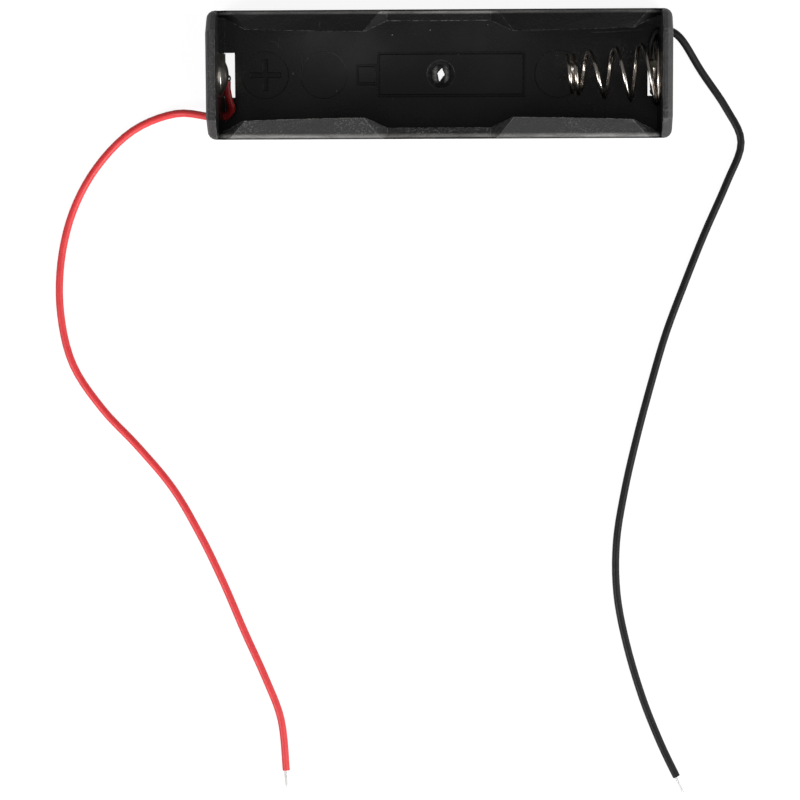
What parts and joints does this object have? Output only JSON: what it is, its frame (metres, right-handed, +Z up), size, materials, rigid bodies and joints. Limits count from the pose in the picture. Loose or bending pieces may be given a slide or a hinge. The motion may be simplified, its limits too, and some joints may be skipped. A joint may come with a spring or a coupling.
{
  "type": "cylindrical cell holder",
  "caption": "Open-top plastic holder for a cylindrical cell, with sloping lips, a coil spring contact, a button contact and red and black wire leads.",
  "frame": {"origin": "centre of the holder's underside, measured without the two leads", "axes": "+X runs along the cell from the button contact to the spring, +Y across the holder, and +Z up out of the open bay"},
  "size_m": [0.1186, 0.1358, 0.019],
  "materials": {
    "black_abs": "satin",
    "nickel_plate": "gloss",
    "nickel_wire": "gloss",
    "red_pvc": "satin",
    "black_pvc": "satin",
    "tinned_copper": "satin",
    "solder": "gloss"
  },
  "bodies": {
    "holder": {"holder_body": "black_abs", "positive_contact_plate": "nickel_plate", "negative_contact_plate": "nickel_plate", "red_lead": "red_pvc", "black_lead": "black_pvc", "red_lead_tip": "tinned_copper", "black_lead_tip": "tinned_copper", "red_solder_joint": "solder", "black_solder_joint": "solder"},
    "spring": {"contact_spring": "nickel_wire"}
  },
  "joints": [
    {"name": "spring_press", "type": "slide", "parent": "holder", "child": "spring", "axis": [1, 0, 0], "range_m": [0, 0.0086], "stiffness_N_per_m": 600, "deforming": ["contact_spring"]}
  ]
}
